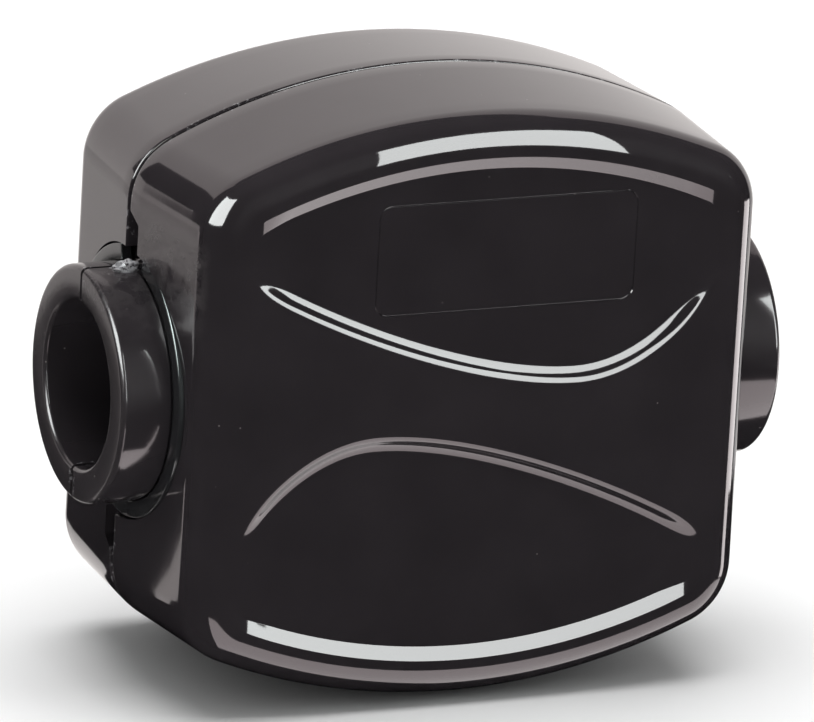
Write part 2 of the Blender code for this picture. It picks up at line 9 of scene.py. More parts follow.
import bpy
import numpy as np
from bpy.props import FloatProperty, FloatVectorProperty, PointerProperty
from mathutils import Matrix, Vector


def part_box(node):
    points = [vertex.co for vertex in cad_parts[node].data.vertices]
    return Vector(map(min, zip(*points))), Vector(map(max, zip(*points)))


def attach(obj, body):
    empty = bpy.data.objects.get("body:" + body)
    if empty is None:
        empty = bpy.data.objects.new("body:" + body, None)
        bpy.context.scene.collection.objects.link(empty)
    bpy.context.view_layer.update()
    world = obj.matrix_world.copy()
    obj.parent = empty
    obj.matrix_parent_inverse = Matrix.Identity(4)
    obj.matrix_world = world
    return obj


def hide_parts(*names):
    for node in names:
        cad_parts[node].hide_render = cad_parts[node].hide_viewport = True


bl_info = {
    "name": "Branch Clamp",
    "version": (1, 0, 0),
    "blender": (4, 5, 0),
    "location": "View3D > Sidebar > Branch Clamp",
    "description": "Dresses the branch clamp: shells, lock rings, screws, plates and stage",
    "category": "Object",
}

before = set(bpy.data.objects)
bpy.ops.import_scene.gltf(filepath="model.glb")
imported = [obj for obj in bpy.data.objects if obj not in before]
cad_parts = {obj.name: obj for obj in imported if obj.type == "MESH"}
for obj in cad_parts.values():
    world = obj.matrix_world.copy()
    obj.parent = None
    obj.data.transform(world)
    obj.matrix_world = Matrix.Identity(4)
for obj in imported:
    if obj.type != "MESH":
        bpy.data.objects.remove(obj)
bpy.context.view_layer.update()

MM = 1000.0
AXIS_HEIGHT = 20.5
CROWN_STEPS = 56
CORNER_STEPS = 20
FLANK_STEPS = 6
RIM_STEPS = 14
SWEEP_STEPS = 150
LENS_COLUMNS = 241
TURN_STEPS = 160
OVERSHOOT = 1.0
FIT = 0.3
LAP_HEIGHT = 1.0
LAP_THICKNESS = 0.7
LAP_INSET = 1.2
PITCH = 0.7
EASED = 0.02
SEAT_PLAY = 0.06
BOSS_WALL = 1.2
BOSS_LAP = 0.15
BOSS_RIM = 0.8
CORE_DEPTH = 2.0

SWEEP_LEFT = 9.55
SWEEP_LOW = (7.0, 1.3)
SWEEP_RIGHT = 7.6
LEFT_PULL = (4.0, 2.2)
RIGHT_PULL = (4.5, 1.9)
LOW_PULLS = (0.3, 0.43)
SOFT_SLOPE = math.radians(42.0)
BEVEL_SLOPE = math.radians(31.0)
BEVEL_BROW = 0.1
BEVEL_FOOT = 0.08
PLAQUE_SIDES = (-7.6, 10.85)
PLAQUE_HEIGHTS = (6.75, 14.2)
PLAQUE_CORNER = 0.9
GATE_X = -20.95
GATE_Y = -0.85

SCREW_LENGTH = 10.0
HEAD_HEIGHT = 2.3
HEAD_SEAT = 4.8
WASHER_SEAT = 3.35
SLOT_REACH = 4.3
SLOT_HALF_WIDTH = 0.55
SLOT_LEVELS = (1.2, 3.4)

PHOTO_WIDTH = 814.0
FOCAL_PIXELS = 12384.72
SHIFT_PIXELS = (-0.16, -2.46)
SENSOR_WIDTH = 36.0
CAMERA_ANGLES = (-24.69, 17.09, 3.31)
CAMERA_DISTANCE = 0.82004
FLAG_Y = -15.0
LAMP_POWER = 9.0
SOFT_LEVEL = 0.45


def length_setting(name, description, default):
    """A property that holds a length in metres."""
    return FloatProperty(name=name, description=description, default=default, unit="LENGTH")


def colour_setting(name, description, default):
    """A property that holds a colour."""
    return FloatVectorProperty(
        name=name, description=description, default=default, subtype="COLOR", min=0.0, max=1.0,
    )


class CaseSizes(bpy.types.PropertyGroup):
    """Sizes of the two half shells."""

    width: length_setting("Width", "Width across the flanks at the seam", 0.0412)
    height: length_setting("Height", "Height over the two crowns at the seam", 0.041)
    depth: length_setting("Depth", "Depth between the front and rear faces", 0.0233)
    crown_rise: length_setting(
        "Crown rise", "Height of each crown over the straight flanks", 0.0082
    )
    corner_radius: length_setting("Corner radius", "Radius between a flank and a crown", 0.0045)
    flank_draft: length_setting(
        "Flank draft", "How much a flank leans in from seam to face", 0.00095
    )
    crown_draft: length_setting(
        "Crown draft", "How much a crown leans in from seam to face", 0.0007
    )
    rim_radius: length_setting("Rim radius", "Rounding between the face and its sides", 0.0021)
    wall: length_setting("Wall", "Wall thickness of a shell", 0.002)
    seam_gap: length_setting("Seam gap", "Gap between the two shells", 0.0003)
    seam_radius: length_setting(
        "Seam rounding", "Rounding of the outer edge at the seam", 0.00018
    )
    lens_depth: length_setting("Lens depth", "Depth of the two sunk panels of a face", 0.0005)
    lens_margin: length_setting(
        "Lens margin", "Flat margin between a sunk panel and the rim", 0.0005
    )
    lens_brow: length_setting(
        "Lens brow", "Outer radius of a sunk panel's wall along its sweep", 0.00075
    )
    lens_foot: length_setting(
        "Lens foot", "Inner radius of a sunk panel's wall along its sweep", 0.00105
    )
    lens_fade: length_setting(
        "Lens fade", "Length over which a sunk panel runs out at its ends", 0.0034
    )
    plaque_line: length_setting(
        "Plaque line", "Width of the fine groove round the plaque", 0.00014
    )
    notch_length: length_setting(
        "Notch length", "Length of the pry notch in the seam edge", 0.0039
    )
    notch_width: length_setting("Notch width", "Reach of the pry notch from the seam", 0.0015)
    notch_depth: length_setting("Notch depth", "Depth of the pry notch into the flank", 0.001)


class CollarSizes(bpy.types.PropertyGroup):
    """Sizes of the cable collars and of the lock rings at their roots."""

    radius: length_setting("Collar radius", "Outer radius of a cable collar", 0.0079)
    reach: length_setting("Collar reach", "How far a collar stands out of the flank", 0.0031)
    bore: length_setting("Bore radius", "Radius of the hole for the cable", 0.0056)
    seat: length_setting("Seat depth", "Depth of the ring's seat at the collar's root", 0.0003)
    ring_sink: length_setting(
        "Ring sink", "How far a lock ring lies under the flank at the seam", 0.0004
    )
    ring_width: length_setting("Ring width", "Width of a lock ring along the cable", 0.0007)
    ring_thickness: length_setting("Ring thickness", "Thickness of a lock ring", 0.0012)
    ring_mouth: length_setting("Ring mouth", "Opening between the ends of a lock ring", 0.0032)


class Looks(bpy.types.PropertyGroup):
    """Colours of the materials."""

    plastic: colour_setting("Case", "Colour of the black moulding", (0.0195, 0.017, 0.019))
    spring: colour_setting(
        "Lock rings", "Colour of the blackened spring rings", (0.012, 0.012, 0.013)
    )
    plating: colour_setting("Plates", "Colour of the zinc on the plates", (0.62, 0.63, 0.6))
    passivation: colour_setting("Screws", "Colour of the passivated screws", (0.68, 0.62, 0.45))
    floor: colour_setting("Floor", "Colour of the floor", (0.86, 0.86, 0.86))


class Shell:
    """Case sizes in millimetres, with the values that follow from them."""

    def __init__(self, sizes, collar):
        for key in sizes.bl_rna.properties.keys():
            if isinstance(getattr(sizes, key), float):
                setattr(self, key, getattr(sizes, key) * MM)
        self.half_depth = self.depth / 2
        self.half_gap = self.seam_gap / 2
        self.flank_end = self.height / 2 - self.crown_rise
        self.collar_radius = collar.radius * MM
        self.collar_end = self.width / 2 + collar.reach * MM
        self.bore = collar.bore * MM
        self.neck = self.collar_radius - collar.seat * MM
        self.ring_mouth = collar.ring_mouth * MM
        self.ring_far = self.width / 2 - collar.ring_sink * MM
        self.ring_near = self.ring_far - collar.ring_width * MM
        self.ring_inner = self.neck + FIT
        self.ring_outer = self.ring_inner + collar.ring_thickness * MM
        self.groove_floor = self.ring_near - FIT
        self.groove_radius = self.ring_outer + SEAT_PLAY
        self.lens_half_width = self.flank_x(self.half_depth) - self.rim_radius - self.lens_margin

    def flank_x(self, distance):
        """Half width at a distance from the seam: it shrinks in proportion to the distance."""
        return self.width / 2 - self.flank_draft * distance / self.half_depth

    def crown_z(self, distance):
        """Half height at a distance from the seam: it shrinks in proportion to the distance."""
        return self.height / 2 - self.crown_draft * distance / self.half_depth


def case_settings():
    """The case sizes of the scene as one object in millimetres."""
    return Shell(bpy.context.scene.clamp_case, bpy.context.scene.clamp_collar)


def loft(sections, closed=False):
    """Quads between each loop of a grid of points and the next.

    The first and last loops are capped with one face each, or joined when closed is true.
    """
    rows, columns = sections.shape[:2]
    index = np.arange(rows * columns).reshape(rows, columns)
    lower = index if closed else index[:-1]
    upper = np.roll(index, -1, 0) if closed else index[1:]
    quads = np.stack([lower, np.roll(lower, -1, 1), np.roll(upper, -1, 1), upper], axis=-1)
    faces = quads.reshape(-1, 4).tolist()
    if not closed:
        faces += [index[0, ::-1].tolist(), index[-1].tolist()]
    return sections.reshape(-1, 3), faces


def signed_volume(points, faces):
    """Sum over the faces of the volume between each face's fan of triangles and the origin."""
    fans = [(face[0], b, c) for face in faces for b, c in zip(face[1:-1], face[2:])]
    a, b, c = points[np.array(fans)].transpose(1, 0, 2)
    return float(np.sum(a * np.cross(b, c)) / 6.0)


def solid(name, points, faces):
    """A closed mesh in millimetres, turned right side out by the sign of its volume."""
    mesh = bpy.data.meshes.new(name)
    if signed_volume(points, faces) < 0.0:
        faces = [face[::-1] for face in faces]
    mesh.from_pydata(points.tolist(), [], faces)
    mesh.update()
    return mesh


def place(name, mesh):
    """A mesh as an object in the scene."""
    piece = bpy.data.objects.new(name, mesh)
    bpy.context.scene.collection.objects.link(piece)
    return piece


def cut(piece, mesh, operation):
    """Apply one exact boolean with a mesh to the piece; the tool is thrown away."""
    tool = place("tool", mesh)
    step = piece.modifiers.new("cut", "BOOLEAN")
    step.solver = "EXACT"
    step.operation = operation
    step.object = tool
    keep_result(piece)
    bpy.data.objects.remove(tool)
    bpy.data.meshes.remove(mesh)


def keep_result(piece):
    """Replace a piece's mesh by the result of its modifiers and drop them."""
    before = piece.data
    graph = bpy.context.evaluated_depsgraph_get()
    piece.data = bpy.data.meshes.new_from_object(piece.evaluated_get(graph), depsgraph=graph)
    piece.modifiers.clear()
    bpy.data.meshes.remove(before)


def smooth(piece, angle=32.0):
    """Shade round surfaces smooth and flat ones flat: normals weigh faces by their area."""
    mesh = piece.data
    mesh.polygons.foreach_set("use_smooth", np.ones(len(mesh.polygons), bool))
    mesh.set_sharp_from_angle(angle=math.radians(angle))
    weigh = piece.modifiers.new("shading", "WEIGHTED_NORMAL")
    weigh.mode = "FACE_AREA"
    weigh.weight = 50
    weigh.keep_sharp = True


def settle(piece, node, body, material):
    """Bring a finished piece to metres on the cable axis and tell the frame what it is."""
    piece.data.transform(
        Matrix.Translation((0.0, 0.0, AXIS_HEIGHT / MM)) @ Matrix.Scale(1.0 / MM, 4)
    )
    piece.data.materials.clear()
    piece.data.materials.append(material)
    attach(piece, body)
    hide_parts(node)


def crown_circle(half_width, half_height, corner, flank_end):
    """Radius and centre height of the crown arc that touches both corner arcs and the top.

    Each corner's centre lies level with the end of its straight flank.
    """
    across = half_width - corner
    rise = flank_end - half_height
    radius = (corner**2 - across**2 - rise**2) / (2.0 * rise + 2.0 * corner)
    return radius, half_height - radius


def case_outline(case, half_width, half_height, corner):
    """Case outline in XZ: straight flanks, corner arcs, and crown arcs tangent to them."""
    across = half_width - corner
    crown, centre = crown_circle(half_width, half_height, corner, case.flank_end)
    joint = math.atan2(case.flank_end - centre, across)
    flank = np.linspace(0.0, case.flank_end, FLANK_STEPS + 1)[:-1]
    bend = np.linspace(0.0, joint, CORNER_STEPS + 1)
    sweep = np.linspace(joint, math.pi / 2, CROWN_STEPS + 1)[1:]
    x = np.concatenate([
        np.full(len(flank), half_width), across + corner * np.cos(bend), crown * np.cos(sweep)
    ])
    z = np.concatenate([
        flank, case.flank_end + corner * np.sin(bend), centre + crown * np.sin(sweep)
    ])
    quarter = np.column_stack([x, z])
    top = np.concatenate([quarter, quarter[-2:0:-1] * (-1.0, 1.0)])
    return np.concatenate([top, -top])


def at_depth(loop, y):
    """An XZ loop set at one depth."""
    return np.column_stack([loop[:, 0], np.full(len(loop), y), loop[:, 1]])


def case_section(case, distance, inset):
    """The case outline at a distance from the seam, set in by an inset all round."""
    loop = case_outline(
        case, case.flank_x(distance) - inset, case.crown_z(distance) - inset,
        case.corner_radius - inset,
    )
    return at_depth(loop, -distance)


def quarter_turn(steps):
    """Sine and cosine over a quarter turn."""
    angle = np.linspace(0.0, math.pi / 2, steps + 1)
    return np.sin(angle), np.cos(angle)


def shell_blank(case):
    """One half shell without its collars, as the case outline carried along a profile.

    The profile is a row of distances from the seam and insets: the inner corner, the inner
    wall, the seam land, the rounded seam edge, the drafted flank, the rim's quarter circle.
    """
    sine, cosine = quarter_turn(RIM_STEPS)
    rim = np.column_stack([
        case.half_depth - case.rim_radius * (1.0 - sine), case.rim_radius * (1.0 - cosine)
    ])
    inner_radius = 0.8
    inner = np.column_stack([
        case.half_depth - case.wall - inner_radius * (1.0 - sine),
        case.wall + inner_radius * (1.0 - cosine),
    ])
    sine, cosine = quarter_turn(4)
    edge = np.column_stack([
        case.half_gap + case.seam_radius * (1.0 - cosine), case.seam_radius * (1.0 - sine)
    ])
    land = np.array([[case.half_gap, case.wall]])
    wall = np.linspace(edge[-1, 0], rim[0, 0], 8)[1:-1]
    flank = np.column_stack([wall, np.zeros(len(wall))])
    profile = np.concatenate([inner[::-1], land, edge, flank, rim])
    sections = [case_section(case, distance, inset) for distance, inset in profile]
    return solid("shell", *loft(np.stack(sections)))


def round_profile(corners, radii, steps=5):
    """A closed profile whose corners are arcs tangent to both sides; it runs anticlockwise."""
    corners = np.array(corners, float)
    before = corners - np.roll(corners, 1, 0)
    after = np.roll(corners, -1, 0) - corners
    before /= np.linalg.norm(before, axis=1)[:, None]
    after /= np.linalg.norm(after, axis=1)[:, None]
    cross = before[:, 0] * after[:, 1] - before[:, 1] * after[:, 0]
    turn = np.arctan2(cross, np.sum(before * after, axis=1))
    radii = np.array(radii, float)
    setback = radii * np.tan(np.abs(turn) / 2)
    start = corners - before * setback[:, None]
    side = np.sign(turn)
    normal = np.column_stack([-before[:, 1], before[:, 0]]) * side[:, None]
    centre = start + normal * radii[:, None]
    share = np.linspace(0.0, 1.0, steps + 1)
    angle = turn[:, None] * share
    arm = -normal * radii[:, None]
    x = arm[:, :1] * np.cos(angle) - arm[:, 1:] * np.sin(angle)
    y = arm[:, :1] * np.sin(angle) + arm[:, 1:] * np.cos(angle)
    return (centre[:, None] + np.stack([x, y], axis=-1)).reshape(-1, 2)


def half_turned(case, profile, side):
    """Half a turned body: a profile of (x, radius) swept round the cable axis.

    A point at radius r turns from one end of the arc to the other, where the arc ends at
    the angles at which r times their cosine is half the seam gap, so the ends lie flat.
    """
    radius = profile[:, 1]
    limit = np.arccos(case.half_gap / radius)
    share = np.linspace(-1.0, 1.0, TURN_STEPS + 1)[:, None]
    angle = share * limit
    sections = np.stack([
        np.broadcast_to(profile[:, 0] * side, angle.shape),
        -radius * np.cos(angle),
        radius * np.sin(angle),
    ], axis=-1)
    return solid("turned", *loft(sections))


def collar_profile(case):
    """A collar from inside the wall to its rounded end, with the ring's seat at its root."""
    root = case.groove_floor - 0.6
    seat_end = case.ring_far + SEAT_PLAY
    core = case.bore - CORE_DEPTH
    corners = [
        (root, core), (case.collar_end, core), (case.collar_end, case.collar_radius),
        (seat_end, case.collar_radius), (seat_end, case.neck), (root, case.neck),
    ]
    return round_profile(corners, [EASED, EASED, 0.42, 0.05, EASED, EASED])


def boss_profile(case):
    """The thickening behind the ring's groove: a disc inside the wall."""
    start, end = case.groove_floor - BOSS_WALL, case.groove_floor - BOSS_LAP
    core, rim = case.bore - CORE_DEPTH, case.groove_radius + BOSS_RIM
    corners = [(start, core), (end, core), (end, rim), (start, rim)]
    return round_profile(corners, [EASED, EASED, EASED, 0.3])


def circles(name, x, radius, angle):
    """A body of circles about the cable axis, each with its own x and radius."""
    sections = np.stack([
        np.broadcast_to(x[:, None], (len(x), len(angle))),
        radius[:, None] * np.cos(angle),
        radius[:, None] * np.sin(angle),
    ], axis=-1)
    return solid(name, *loft(sections))


def groove_cutter(case, side):
    """The ring's groove: circles along the axis, with a small fillet at its floor."""
    fillet = 0.12
    sine, cosine = quarter_turn(4)
    x = np.append(case.groove_floor + fillet * (1.0 - cosine), case.collar_end + OVERSHOOT)
    radius = np.append(case.groove_radius - fillet * (1.0 - sine), case.groove_radius)
    angle = np.linspace(0.0, 2 * math.pi, 2 * TURN_STEPS, endpoint=False)
    return circles("groove", side * x, radius, angle)


def bore_cutter(case):
    """The cable hole: circles along the axis that flare over a quarter circle at each mouth."""
    flare = 0.3
    sine, cosine = quarter_turn(5)
    end = case.collar_end
    x = np.concatenate([[0.0], end - flare + flare * sine, [end + OVERSHOOT]])
    radius = np.concatenate([[case.bore], case.bore + flare * (1.0 - cosine)])
    radius = np.append(radius, radius[-1])
    x = np.concatenate([-x[:0:-1], x])
    radius = np.concatenate([radius[:0:-1], radius])
    angle = (np.arange(TURN_STEPS) + 0.5) * 2 * math.pi / TURN_STEPS
    return circles("bore", x, radius, angle)


def bezier(points, steps):
    """Cubic Bezier curve through the first and last of four points."""
    a, b, c, d = np.array(points, float)
    t = np.linspace(0.0, 1.0, steps + 1)[:, None]
    return (1 - t)**3 * a + 3 * (1 - t)**2 * t * b + 3 * (1 - t) * t**2 * c + t**3 * d


def lens_edges(case, x):
    """Heights of a sunk panel's two edges over x: an S-shaped sweep and the case's crown.

    The sweep is two cubic Bezier curves; the crown is the case's outline, set in.
    """
    half_width = case.lens_half_width
    half_height = case.crown_z(case.half_depth) - case.rim_radius - case.lens_margin
    left = np.array((-half_width, SWEEP_LEFT))
    low = np.array(SWEEP_LOW)
    right = np.array((half_width, SWEEP_RIGHT))
    fall, climb = low - left, right - low
    before, after = ((run[0] * pull, 0.0) for run, pull in zip((fall, climb), LOW_PULLS))
    sweep = np.concatenate([
        bezier([left, left + fall / LEFT_PULL, low - before, low], SWEEP_STEPS),
        bezier([low, low + after, right - climb / RIGHT_PULL, right], SWEEP_STEPS)[1:],
    ])
    corner = case.corner_radius - case.rim_radius - case.lens_margin
    outline = case_outline(case, half_width, half_height, corner)
    crown = outline[outline[:, 1] >= case.flank_end - 1e-9]
    crown = crown[np.argsort(crown[:, 0])]
    return np.interp(x, sweep[:, 0], sweep[:, 1]), np.interp(x, crown[:, 0], crown[:, 1])


def wall_depths(depth, slope, brow, foot):
    """A wall's profile as distances from its edge and depths there.

    A convex arc turns down to the slope, a straight part follows, and a concave arc turns
    out again. The first point mirrors the arc over the face's plane.
    """
    turn = np.linspace(0.0, slope, 8)
    fall = depth - (brow + foot) * (1.0 - math.cos(slope))
    reach = (brow + foot) * math.sin(slope) + fall / math.tan(slope)
    first = 0.16 * brow + 0.03
    away = np.concatenate([
        [-first], brow * np.sin(turn[1:]), reach - foot * np.sin(turn[::-1]),
    ])
    sunk = np.concatenate([
        [-brow * (1.0 - math.sqrt(1.0 - (first / (brow + 0.1))**2)) - 0.002],
        brow * (1.0 - np.cos(turn[1:])),
        depth - foot * (1.0 - np.cos(turn[::-1])),
    ])
    return away, sunk


def lens_cutter(case):
    """A sunk panel as a height field over x and the way from its sweep to its crown.

    At each x the sweep's soft wall, the floor and the crown's bevel follow each other. The
    whole depth is scaled by a smooth step of the distance from the nearer end over the fade.
    """
    half_width = case.lens_half_width
    x = (half_width + 0.15) * np.sin(np.linspace(-math.pi / 2, math.pi / 2, LENS_COLUMNS))
    low, high = lens_edges(case, x)
    soft_run, soft = wall_depths(case.lens_depth, SOFT_SLOPE, case.lens_brow, case.lens_foot)
    bevel_run, bevel = wall_depths(case.lens_depth, BEVEL_SLOPE, BEVEL_BROW, BEVEL_FOOT)
    lean_low = np.hypot(1.0, np.gradient(low, x)).clip(max=1.5)
    lean_high = np.hypot(1.0, np.gradient(high, x)).clip(max=1.3)
    room = 0.85 * (high - low) / (soft_run[-1] * lean_low + bevel_run[-1] * lean_high)
    squeeze = np.minimum(1.0, room)[:, None]
    z = np.concatenate([
        low[:, None] + soft_run * lean_low[:, None] * squeeze,
        (high[:, None] - bevel_run * lean_high[:, None] * squeeze)[:, ::-1],
    ], axis=1)
    share = (half_width - np.abs(x)) / case.lens_fade
    fade = np.minimum(np.abs(share), 1.0)
    fade = (fade * fade * (3.0 - 2.0 * fade) * np.sign(share))[:, None]
    sunk = np.concatenate([soft, bevel[::-1]])
    over = (sunk < 0.0) | (fade < 0.0)
    depth = np.where(over, -np.abs(sunk * fade) - 0.002, sunk * fade)
    z = np.column_stack([z, z[:, -1], z[:, 0]])
    depth = np.column_stack([depth, np.full((len(x), 2), -0.5)])
    sections = np.stack([
        np.broadcast_to(x[:, None], z.shape), -case.half_depth + depth, z
    ], axis=-1)
    return solid("lens", *loft(sections))


def plaque_cutter(case):
    """A fine vee groove round a bare plaque: a rounded rectangle, wider towards the front."""
    (left, right), (low, high) = PLAQUE_SIDES, PLAQUE_HEIGHTS
    corners = [(right, low), (right, high), (left, high), (left, low)]
    loop = round_profile(corners, [PLAQUE_CORNER] * 4, 9)
    centre = loop.mean(axis=0)
    way = (loop - centre) / np.abs(loop - centre).max(axis=0)
    floor = -case.half_depth + case.lens_depth
    half = case.plaque_line / 2
    rims = [(half, -0.02), (0.0, half), (-half, -0.02), (0.0, -0.06)]
    sections = np.stack([at_depth(loop + way * out, floor + deep) for out, deep in rims])
    return solid("plaque", *loft(sections, closed=True))


def gate_mark(case):
    """The broken gate on the collar's top: a low lump whose radius carries three waves."""
    along = np.linspace(0.0, math.pi, 15)[1:-1, None]
    around = np.linspace(0.0, 2 * math.pi, 28, endpoint=False)
    wave = (
        1.0 + 0.16 * np.sin(3 * around + 4 * along) + 0.12 * np.sin(5 * around - 3 * along)
        + 0.08 * np.sin(9 * around + 7 * along)
    )
    sections = np.stack([
        GATE_X + 0.78 * wave * np.cos(along),
        GATE_Y + 0.4 * wave * np.sin(along) * np.cos(around),
        case.collar_radius + 0.1 + 0.52 * wave * np.sin(along) * np.sin(around),
    ], axis=-1)
    return solid("gate", *loft(sections))


def notch_cutter(case):
    """A pry notch in the left seam edge above the collar, with a slanted top."""
    start = case.collar_radius + FIT
    end = case.collar_radius + case.notch_length
    near = LAP_HEIGHT + OVERSHOOT
    corners = [
        (near, start), (-case.notch_width, start), (-case.notch_width, end - 0.8),
        (-case.half_gap, end), (near, end),
    ]
    side = round_profile(corners[::-1], [0.05, 0.02, 0.3, 0.25, 0.05])
    outside = -case.width / 2 - OVERSHOOT
    floor = -case.width / 2 + case.notch_depth
    sections = np.stack([
        np.column_stack([np.full(len(side), x), side]) for x in (outside, floor)
    ])
    return solid("notch", *loft(sections))


def seam_band(case, outer_inset, inner_inset, start, end, keep):
    """A band between two insets of the seam outline and two depths, on one side of the axis.

    Points nearer the axis than the limit are moved onto it, upper half or lower half.
    """
    loops = []
    for inset, depth in (
        (outer_inset, start), (outer_inset, end), (inner_inset, end), (inner_inset, start)
    ):
        loop = case_outline(
            case, case.width / 2 - inset, case.height / 2 - inset, case.corner_radius - inset
        )
        loops.append(at_depth(loop, depth))
    mesh = solid("band", *loft(np.stack(loops), closed=True))
    band = place("band", mesh)
    tall = case.height
    low, high = (keep, tall) if keep > 0 else (-tall, keep)
    cut(band, block((-tall, -tall, low), (tall, tall, high)), "INTERSECT")
    result = band.data.copy()
    bpy.data.objects.remove(band)
    return result


def block(low, high):
    """A box between two corners."""
    x, y, z = zip(low, high)
    loop = [(x[0], y[0]), (x[1], y[0]), (x[1], y[1]), (x[0], y[1])]
    sections = np.array([[(a, b, height) for a, b in loop] for height in z], float)
    return solid("block", *loft(sections))


def core_guide(side_x, side_z, case):
    """An L-shaped upright guide with rounded edges at one corner of the core plates."""
    inner_x, inner_z, thick, leg = 10.3, 10.8, 1.4, 4.2
    outer_x, outer_z = inner_x + thick, inner_z + thick
    corners = [
        (outer_x, outer_z), (outer_x - leg, outer_z), (outer_x - leg, inner_z),
        (inner_x, inner_z), (inner_x, outer_z - leg), (outer_x, outer_z - leg),
    ]
    loop = round_profile(corners, [0.4, 0.3, 0.3, 0.3, 0.3, 0.3], steps=3)
    loop = loop * (side_x, side_z)
    floor = -case.half_depth + case.wall / 2
    return solid("guide", *loft(np.stack([at_depth(loop, floor), at_depth(loop, -0.45)])))


def shell_piece(case):
    """One half shell: blank, collars and guides, less bore, sunk panels, notches and plaque."""
    shell = place("front_shell_moulding", shell_blank(case))
    for side in (1, -1):
        cut(shell, half_turned(case, boss_profile(case), side), "UNION")
        cut(shell, groove_cutter(case, side), "DIFFERENCE")
        cut(shell, half_turned(case, collar_profile(case), side), "UNION")
    for side_x in (1, -1):
        for side_z in (1, -1):
            cut(shell, core_guide(side_x, side_z, case), "UNION")
    cut(shell, bore_cutter(case), "DIFFERENCE")
    cut(shell, seam_band(case, LAP_INSET, LAP_INSET + LAP_THICKNESS,
                         -LAP_HEIGHT, LAP_HEIGHT, case.ring_outer + FIT), "UNION")
    cut(shell, seam_band(case, LAP_INSET - FIT, case.wall + OVERSHOOT,
                         -LAP_HEIGHT - FIT, OVERSHOOT, -case.ring_outer), "DIFFERENCE")
    for turn in (0.0, math.pi):
        for tool in (lens_cutter(case), notch_cutter(case)):
            tool.transform(Matrix.Rotation(turn, 4, "Y"))
            cut(shell, tool, "DIFFERENCE")
    cut(shell, plaque_cutter(case), "DIFFERENCE")
    return shell


class ClampShells(bpy.types.Operator):
    """Make the half shells: the rear one is the front one turned half over, less the gate."""

    bl_idname = "clamp.shells"
    bl_label = "Half shells"

    def execute(self, context):
        """Build one moulding, turn a copy about the cable axis, and add the gate to the front."""
        case = case_settings()
        plastic = gloss_plastic(context.scene.clamp_looks)
        front = shell_piece(case)
        rear = place("rear_shell_moulding", front.data.copy())
        rear.data.transform(Matrix.Rotation(math.pi, 4, "X"))
        cut(front, gate_mark(case), "UNION")
        for piece, node in ((front, "front_shell"), (rear, "rear_shell")):
            smooth(piece)
            settle(piece, node, "case", plastic)
        return {"FINISHED"}


def ring_mesh(case, side):
    """A lock ring: a rounded rectangle carried round an open arc, with eased ends.

    Over the last tenths of a millimetre at each end the section shrinks as a quarter circle.
    """
    inner, outer = case.ring_inner, case.ring_outer
    near, far = case.ring_near, case.ring_far
    ease, edge = 0.08, 0.13
    half_mouth = math.asin(case.ring_mouth / 2 / inner)
    sine, cosine = quarter_turn(4)
    arc = ease / outer
    start = half_mouth + arc * (1 - cosine)
    middle = np.linspace(half_mouth + arc, 2 * math.pi - half_mouth - arc, TURN_STEPS)[1:-1]
    angle = np.concatenate([start, middle, 2 * math.pi - start[::-1]])
    ends = ease * (1 - sine)
    inset = np.concatenate([ends, np.zeros(len(middle)), ends[::-1]])
    sections = []
    for turn, shrink in zip(angle, inset):
        loop = round_profile([
            (near + shrink, inner + shrink), (far - shrink, inner + shrink),
            (far - shrink, outer - shrink), (near + shrink, outer - shrink),
        ], [edge - shrink] * 4)
        sections.append(np.column_stack([
            side * loop[:, 0], loop[:, 1] * math.sin(turn), loop[:, 1] * math.cos(turn)
        ]))
    return solid("ring", *loft(np.stack(sections)))


class ClampRings(bpy.types.Operator):
    """Make the two open spring rings that hold the shells shut."""

    bl_idname = "clamp.rings"
    bl_label = "Lock rings"

    def execute(self, context):
        """Carry one rounded section round each collar, with the mouth upwards."""
        case = case_settings()
        steel = spring_steel(context.scene.clamp_looks)
        for node, side in (("left_lock_ring", -1), ("right_lock_ring", 1)):
            ring = place(f"{node}_wire", ring_mesh(case, side))
            smooth(ring, 60.0)
            settle(ring, node, "case", steel)
        return {"FINISHED"}


def screw_mesh(length, head_height):
    """A slotted cheese-head screw about Z, seat at the origin, head upwards.

    Radius over height and angle: on the shank the M4 thread, a 60 degree vee whose phase is
    height over pitch minus the share of a turn, flattened at root and crest; it fades out
    under the head and shrinks to the chamfer at the tip.
    """
    core, crest = 1.57, 2.0
    rows = int(length / PITCH * 12)
    height = np.linspace(-length, -0.35, rows)
    angle = np.linspace(0.0, 2 * math.pi, 72, endpoint=False)
    phase = (height[:, None] / PITCH - angle / (2 * math.pi)) % 1.0
    vee = np.clip(1.25 * (1.0 - 2.0 * np.abs(phase - 0.5)) * 1.15 - 0.2, 0.0, 1.0)
    thread = core + (crest - core) * vee
    fade = np.clip((-0.5 - height[:, None]) / 0.4, 0.0, 1.0)
    thread = crest - EASED + (thread - crest + EASED) * fade
    tip = (height[:, None] + length) * 1.1 + crest - 0.75
    thread = np.minimum(thread, tip)
    sine, cosine = quarter_turn(6)
    edge, head = 0.45, 3.3
    top = np.column_stack([
        head - edge * (1 - cosine), head_height - edge * (1 - sine)
    ])
    profile = np.concatenate([
        [(crest - EASED, -0.12), (crest + 0.12, 0.0), (head - 0.12, 0.0), (head, 0.12)], top,
        [(head * 0.6, head_height + 0.06), (0.4, head_height + 0.1)],
    ])
    radius = np.concatenate([
        thread, np.broadcast_to(profile[:, :1], (len(profile), len(angle)))
    ])
    level = np.concatenate([height, profile[:, 1]])[:, None]
    sections = np.stack([
        radius * np.cos(angle), radius * np.sin(angle), np.broadcast_to(level, radius.shape)
    ], axis=-1)
    return solid("screw", *loft(sections))


